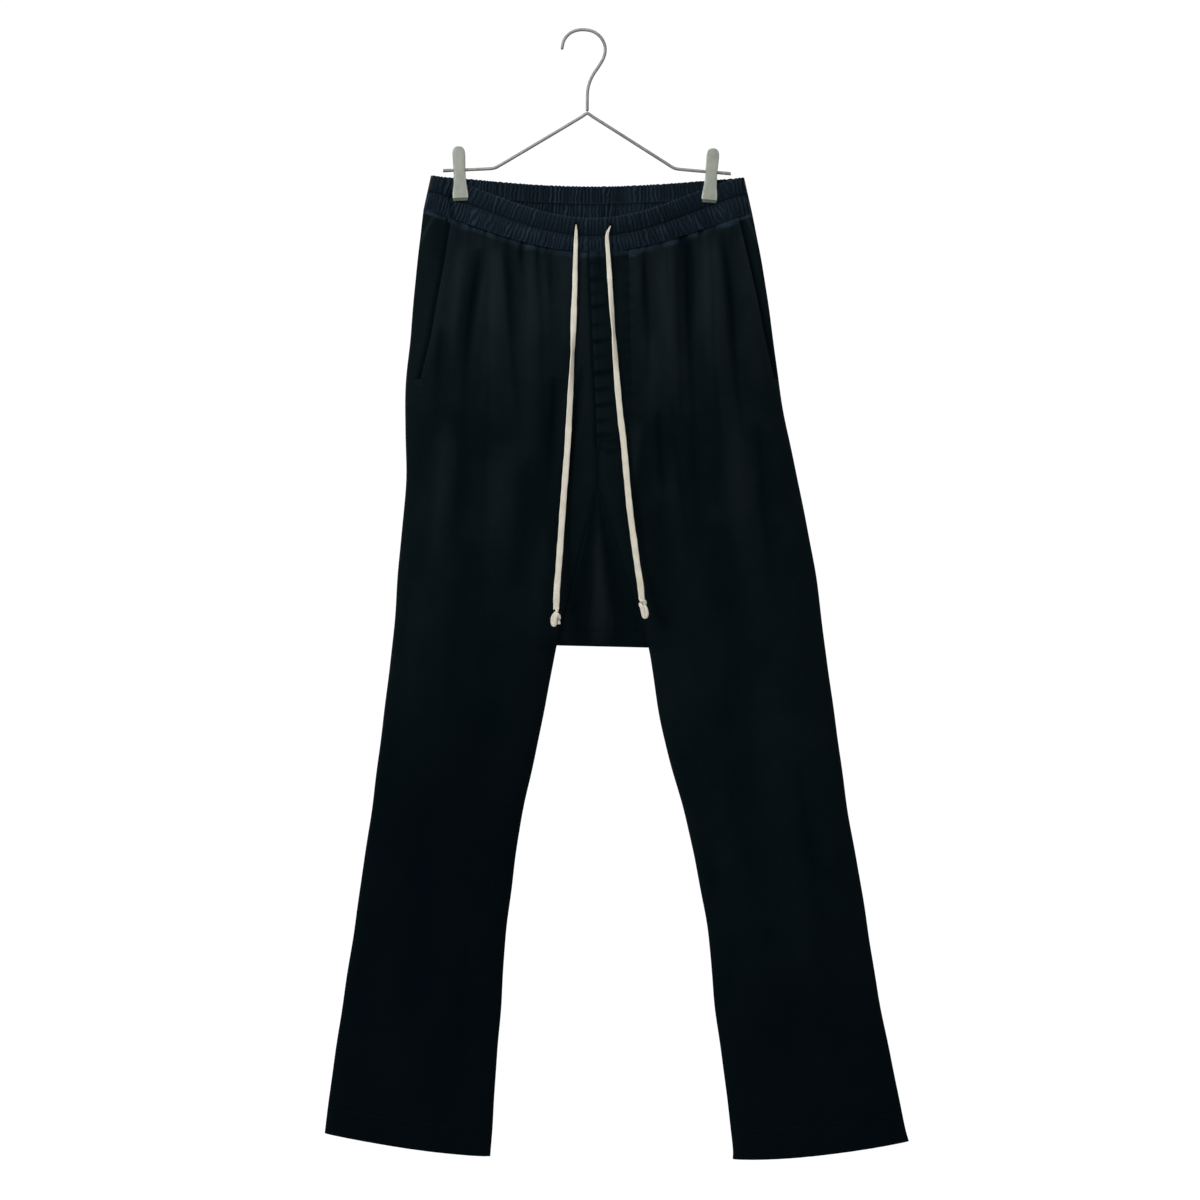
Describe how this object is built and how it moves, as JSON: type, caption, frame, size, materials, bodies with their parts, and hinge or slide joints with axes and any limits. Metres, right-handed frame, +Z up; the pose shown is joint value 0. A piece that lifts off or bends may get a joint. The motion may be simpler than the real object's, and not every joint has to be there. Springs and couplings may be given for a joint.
{
  "type": "harem pants on a clip hanger",
  "caption": "Drop-crotch harem pants with a gathered elastic waistband, drawstring and slanted pockets, hanging from a wire hanger with spring clips.",
  "frame": {"origin": "inside top of the hanger's hook, where the rail carries it", "axes": "+Z up, +X to the viewer's right with the front facing the viewer, the front faces -Y; right and left in the names are the wearer's"},
  "size_m": [0.6408, 0.0784, 1.2437],
  "materials": {
    "body_cloth": "matte",
    "waistband_cloth": "satin",
    "drawstring_cotton": "matte",
    "buttonhole_thread": "matte",
    "hanger_wire": "satin",
    "clip_steel": "matte"
  },
  "bodies": {
    "root": {"front_right": "body_cloth", "front_left": "body_cloth", "back_right": "body_cloth", "back_left": "body_cloth", "crotch_gusset": "body_cloth", "pocket_facing_right": "body_cloth", "pocket_facing_left": "body_cloth", "fly_placket": "body_cloth", "waistband_front": "waistband_cloth", "waistband_back": "waistband_cloth", "drawstring_right": "drawstring_cotton", "drawstring_left": "drawstring_cotton", "knot_right": "drawstring_cotton", "knot_left": "drawstring_cotton", "buttonhole_right": "buttonhole_thread", "buttonhole_left": "buttonhole_thread", "hanger_hook": "hanger_wire", "hanger_arms": "hanger_wire", "clip_front_right": "clip_steel", "clip_back_right": "clip_steel", "clip_spring_right": "clip_steel", "clip_front_left": "clip_steel", "clip_back_left": "clip_steel", "clip_spring_left": "clip_steel"}
  },
  "joints": []
}
